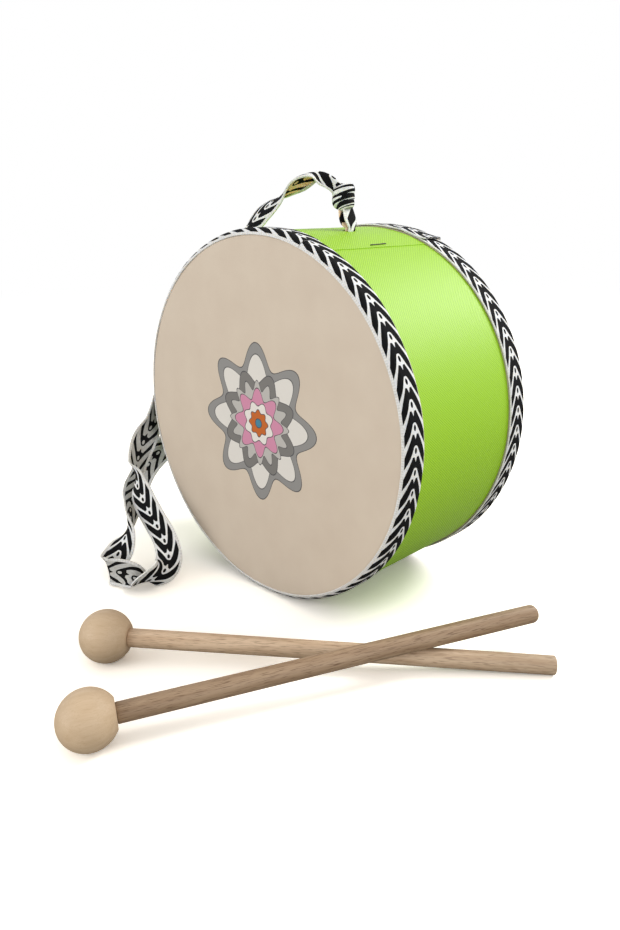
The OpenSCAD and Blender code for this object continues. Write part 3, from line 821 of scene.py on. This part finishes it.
outer_knot_d = 12.0
outer_knot_l = 16.5
knot_rise = 16.0
knot_lean = 7.5
stop_d = 13.0
stop_l = 11.0
bore_r = 94.2
fold_half = 2.9
fold_depth = 1.5
fold_t = 0.7
fold_count = 3
fold_flare = 0.75
fold_rows = 60
for end, (hole_deg, hole_y) in zip(("top", "side"), strap_holes):
    straight_out = round_drum(1.0, hole_deg, 0.0)
    lean_deg = hole_deg + math.degrees(math.atan(knot_lean / knot_rise))
    leaning = round_drum(1.0, lean_deg, 0.0)
    mouth = round_drum(wrap_r, hole_deg, hole_y)
    knot_at = mouth + math.hypot(knot_rise, knot_lean) * leaning
    knot(end + "_outer_knot", knot_at, leaning, outer_knot_d, outer_knot_l,
                         turns=3.2, start_deg=200, solid=end + "_strap_knot")
    stop_at = round_drum(bore_r - stop_l / 2, hole_deg, hole_y)
    knot(end + "_inner_knot", stop_at, straight_out, stop_d, stop_l,
                         turns=1.8, start_deg=40, solid=end + "_stop_knot")
    turns_at = [stop_at, mouth - 2.0 * straight_out, mouth + 1.5 * straight_out, mouth + 6 * leaning,
                knot_at - 2.0 * leaning]
    line = smooth_route(turns_at, np.linspace(0, len(turns_at) - 1, fold_rows))
    outside_share = np.clip(np.linspace(-1, 1, fold_rows), 0, 1)
    flare = 1 + fold_flare * np.sin(outside_share * math.pi)[:, None]
    wide = np.linspace(-strap_w / 2, strap_w / 2, 41)[None, :]
    fold_x = flare * fold_half * np.sin(wide / strap_w * fold_count * math.pi)
    fold_n = flare * fold_depth * wide / (strap_w / 2)
    across = np.tile([0.0, -1.0, 0.0], (len(line), 1))
    face, back = ribbon_sides(line, across, fold_x, fold_n, fold_t)
    ribbon(end + "_folded_end", face, back, run_length(line)[:, None], wide,
                           end + "_strap_neck")


# Beaters: two turned beech sticks, each glued by its tenon into a turned beech ball that has a small
# flat where the stick enters. One lies across the other on the floor.
tenon_r = 3.5
tenon_l = 14.0
bore_gap = 0.1
flat_r = 6.5
flat_crown = 0.02
flat_edge = 0.5
pole_deg = 178
stick_r = 4.5
stick_end = 214.0
centre_hole_r = 0.4
shoulder_bevel = 0.3
turned_wave = 0.03
turned_wave_l = 23.0
turned_steps = 72
end_rounding = {"lower": 0.8, "upper": 3.0}


def new_beech(name, light, mid, fleck_colour, fleck_share, end_darkening=0.0):
    """Bare turned beech: soft streaks along the grain and short dark flecks between them.
    The last argument is the share by which the stick grows darker towards its free end."""
    darkening_mm = (90.0, 210.0)
    streak_w_mm = 1.8
    streak_l_mm = 33.3
    fleck_w_mm = 0.3
    fleck_l_mm = 6.0
    finish, tree, shader = new_finish(name, 0.5, 0.4)
    place = add(tree, "Attribute", attribute_name="paint_mm")
    fine = add(tree, "Mapping", {"Vector": place.outputs["Vector"],
                                 "Scale": (1 / streak_l_mm, 1 / streak_w_mm, 1 / streak_w_mm)})
    streaks = add(tree, "TexNoise", {"Vector": fine, "Scale": 1.0, "Detail": 4.0, "Distortion": 0.3})
    tone = add(tree, "ValToRGB", {"Fac": streaks}, [(0.3, linear(mid)), (0.65, linear(light))])
    short = add(tree, "Mapping", {"Vector": place.outputs["Vector"],
                                  "Scale": (1 / fleck_l_mm, 1 / fleck_w_mm, 1 / fleck_w_mm)})
    flecks = add(tree, "TexNoise", {"Vector": short, "Scale": 1.0, "Detail": 1.0})
    dark = add(tree, "MapRange", {"Value": flecks, "From Min": 0.56, "From Max": 0.68,
                                  "To Max": fleck_share})
    laid = add(tree, "Mix", {"Factor": dark, "A": tone.outputs[0], "B": linear(fleck_colour)},
               data_type="RGBA")
    grain = add(tree, "SeparateXYZ", {"Vector": place.outputs["Vector"]})
    # The colour is made darker towards the stick's free end, from 90 to 210 mm along it
    toward_end = add(tree, "MapRange", {"Value": grain.outputs["X"], "From Min": darkening_mm[0],
                                  "From Max": darkening_mm[1], "To Max": end_darkening})
    darkened_end = add(tree, "Mix", {"Factor": toward_end, "A": laid.outputs["Result"], "B": linear("#000000")},
               data_type="RGBA")
    tree.links.new(darkened_end.outputs["Result"], shader.inputs["Base Color"])
    pores = add(tree, "Bump", {"Height": flecks, "Strength": 0.15, "Distance": 0.08 * MM})
    tree.links.new(pores.outputs[0], shader.inputs["Normal"])
    return finish


stick_beech = {"lower": new_beech("turned_pink_beech", "#D7BC9E", "#C0A283", "#866A50", 0.7, 0.32),
               "upper": new_beech("turned_brown_beech", "#A1886D", "#8B7157", "#5F452F", 0.75)}
ball_beech = new_beech("turned_pale_beech", "#C9B091", "#C1A787", "#A5845E", 0.22)
handles = {mount["name"]: mount for mount in frame["record"]["mounts"]}
for name in ("lower", "upper"):
    low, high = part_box(name + "_beater_ball")
    ball_r = (high[2] - low[2]) / 2 / MM
    centre = np.array(low) / MM + ball_r
    stick_way = unit(np.array(handles[name + "_beater_handle"]["axis"]))
    level = unit(np.cross(stick_way, (0, 0, 1)))
    flat_at = math.sqrt(ball_r ** 2 - flat_r ** 2)
    shoulder = flat_at + bore_gap
    tenon_at = shoulder - tenon_l
    arc = np.linspace(math.radians(pole_deg), math.atan2(flat_r, flat_at), 40)
    ball = [(ball_r * math.cos(a), ball_r * math.sin(a)) for a in arc]
    ball += [(flat_at + flat_crown, flat_r - flat_edge), (flat_at, tenon_r + bore_gap)]
    ball += [(tenon_at - bore_gap, tenon_r + bore_gap), (tenon_at - bore_gap, centre_hole_r)]
    rounding = end_rounding[name]
    bevel = np.radians(np.linspace(0, 86, 9))
    stick = [(tenon_at, centre_hole_r), (tenon_at, tenon_r), (shoulder, tenon_r),
             (shoulder, stick_r - shoulder_bevel), (shoulder + shoulder_bevel, stick_r)]
    stick += [(s, stick_r + turned_wave * math.sin(s / turned_wave_l))
              for s in np.linspace(20, stick_end - 8, 30)]
    stick += [(stick_end - rounding + rounding * math.sin(a),
               stick_r - rounding + rounding * math.cos(a)) for a in bevel]
    stick += [(stick_end, centre_hole_r)]
    for part, profile, finish, slot in (("ball", ball, ball_beech, "beech_ball"),
                                        ("stick", stick, stick_beech[name], "beech_stick")):
        points = turned(profile, turned_steps, centre, stick_way, level)
        from_ball = points - centre
        upright = np.cross(stick_way, level)
        grain = np.stack([from_ball @ stick_way, from_ball @ level, from_ball @ upright], axis=-1)
        faces = turned_faces(turned_steps, len(profile))
        piece(name + "_turned_" + part, points.reshape(-1, 3), faces, finish, name + "_beater",
              name + "_beater_" + part, grain.reshape(-1, 3))


# Studio: a pale floor in a white tent that lights the object evenly from all round, with weak soft
# lamps at the front left, low in front and at the right, a window behind, and the photograph's
# camera.
floor_z = -trim_r
floor_half = 3000.0
floor_mesh = bpy.data.meshes.new("studio_floor")
floor_mesh.from_pydata([(x * floor_half * MM, y * floor_half * MM, floor_z * MM)
                        for x, y in ((-1, -1), (1, -1), (1, 1), (-1, 1))], [], [(0, 1, 2, 3)])
floor = bpy.data.objects.new("studio_floor", floor_mesh)
bpy.context.scene.collection.objects.link(floor)

# Paper floor: matt and light grey. Seen straight on or through something clear it is bleached, as
# an overexposed floor is, so that only its deeper shadows stay; further away it fades into the
# white surround, in reflections too.
fade_mm = (600.0, 2000.0)
paper, tree, shader = new_finish("white_paper_floor", 0.9, 0.1)
place = add(tree, "TexCoord")
far = add(tree, "VectorMath", {0: place.outputs["Object"]}, operation="LENGTH")
fade = add(tree, "MapRange", {"Value": far.outputs["Value"], "From Min": fade_mm[0] * MM,
                              "From Max": fade_mm[1] * MM}, interpolation_type="SMOOTHSTEP")
rays = add(tree, "LightPath")
looked_at = add(tree, "Math", {0: rays.outputs["Is Camera Ray"],
                               1: rays.outputs["Is Transmission Ray"]}, operation="MAXIMUM")
seen = add(tree, "Math", {0: looked_at, 1: rays.outputs["Is Glossy Ray"]}, operation="MAXIMUM")
tone = add(tree, "Mix", {"Factor": looked_at, "A": linear("#96948E"), "B": linear("#FBFAF7")},
           data_type="RGBA")
tree.links.new(tone.outputs["Result"], shader.inputs["Base Color"])
blend = add(tree, "Math", {0: fade, 1: seen}, operation="MULTIPLY")
glow = add(tree, "Emission", {"Color": (1.0, 1.0, 1.0, 1.0), "Strength": 1.0})
bleach = add(tree, "Mix", {"Factor": looked_at, "A": linear("#000000"), "B": linear("#C8C0B2")},
             data_type="RGBA")
bleached = add(tree, "BsdfDiffuse", {"Color": bleach.outputs["Result"]})
near = add(tree, "AddShader", {0: shader, 1: bleached})
mixed = add(tree, "MixShader", {0: blend, 1: near, 2: glow})
tree.links.new(mixed.outputs[0], tree.nodes["Material Output"].inputs["Surface"])
floor_mesh.materials.append(paper)

world = bpy.data.worlds.new("white_surround")
bpy.context.scene.world = world
world.use_nodes = True
tree = world.node_tree
sky = tree.nodes["Background"]
rays = add(tree, "LightPath")
seen = add(tree, "Math", {0: rays.outputs["Is Camera Ray"], 1: rays.outputs["Is Glossy Ray"]},
           operation="MAXIMUM")
seen = add(tree, "Math", {0: seen, 1: rays.outputs["Is Transmission Ray"]}, operation="MAXIMUM")
strength = add(tree, "MapRange", {"Value": seen, "To Min": 0.7, "To Max": 1.0})
sky.inputs["Color"].default_value = (1.0, 1.0, 1.0, 1.0)
tree.links.new(strength.outputs[0], sky.inputs["Strength"])

# Each lamp: name, place, width and power in watts; all point at the origin
for name, lamp_at, size, power in (("left_softbox", (-490, -1260, 400), 900, 8.4),
                                   ("low_softbox", (816, -876, 80), 500, 1.3),
                                   ("right_softbox", (1100, -150, 350), 700, 3.0),
                                   ("window", (420, 900, 740), 500, 10.2)):
    lamp = bpy.data.lights.new(name, "AREA")
    lamp.size = size * MM
    lamp.energy = power
    stand = bpy.data.objects.new(name, lamp)
    stand.location = Vector(lamp_at) * MM
    stand.rotation_euler = (-stand.location).to_track_quat("-Z", "Y").to_euler()
    bpy.context.scene.collection.objects.link(stand)

# Camera, level with the top of the drum and to its front right
camera_at = Vector((292.72, -254.46, 106.03)) * MM
camera_yaw = math.radians(-44.98)
camera_pitch = math.radians(18.57)
camera_roll = math.radians(-0.94)
photo_h_px = 930
focal_px = 748.75
forward = Vector((math.sin(camera_yaw) * math.cos(camera_pitch),
                  math.cos(camera_yaw) * math.cos(camera_pitch), -math.sin(camera_pitch)))
level_right = Vector((math.cos(camera_yaw), -math.sin(camera_yaw), 0))
level_up = level_right.cross(forward)
right = math.cos(camera_roll) * level_right + math.sin(camera_roll) * level_up
up = math.cos(camera_roll) * level_up - math.sin(camera_roll) * level_right
lens = bpy.data.cameras.new("camera")
lens.sensor_fit = "VERTICAL"
lens.sensor_height = 36.0
lens.lens = focal_px / photo_h_px * lens.sensor_height
lens.clip_start = 0.01
camera = bpy.data.objects.new("camera", lens)
facing = Matrix((right, up, -forward)).transposed()
camera.matrix_world = Matrix.Translation(camera_at) @ facing.to_4x4()
bpy.context.scene.collection.objects.link(camera)
bpy.context.scene.camera = camera
bpy.context.scene.view_settings.view_transform = "Standard"

bpy.context.view_layer.update()
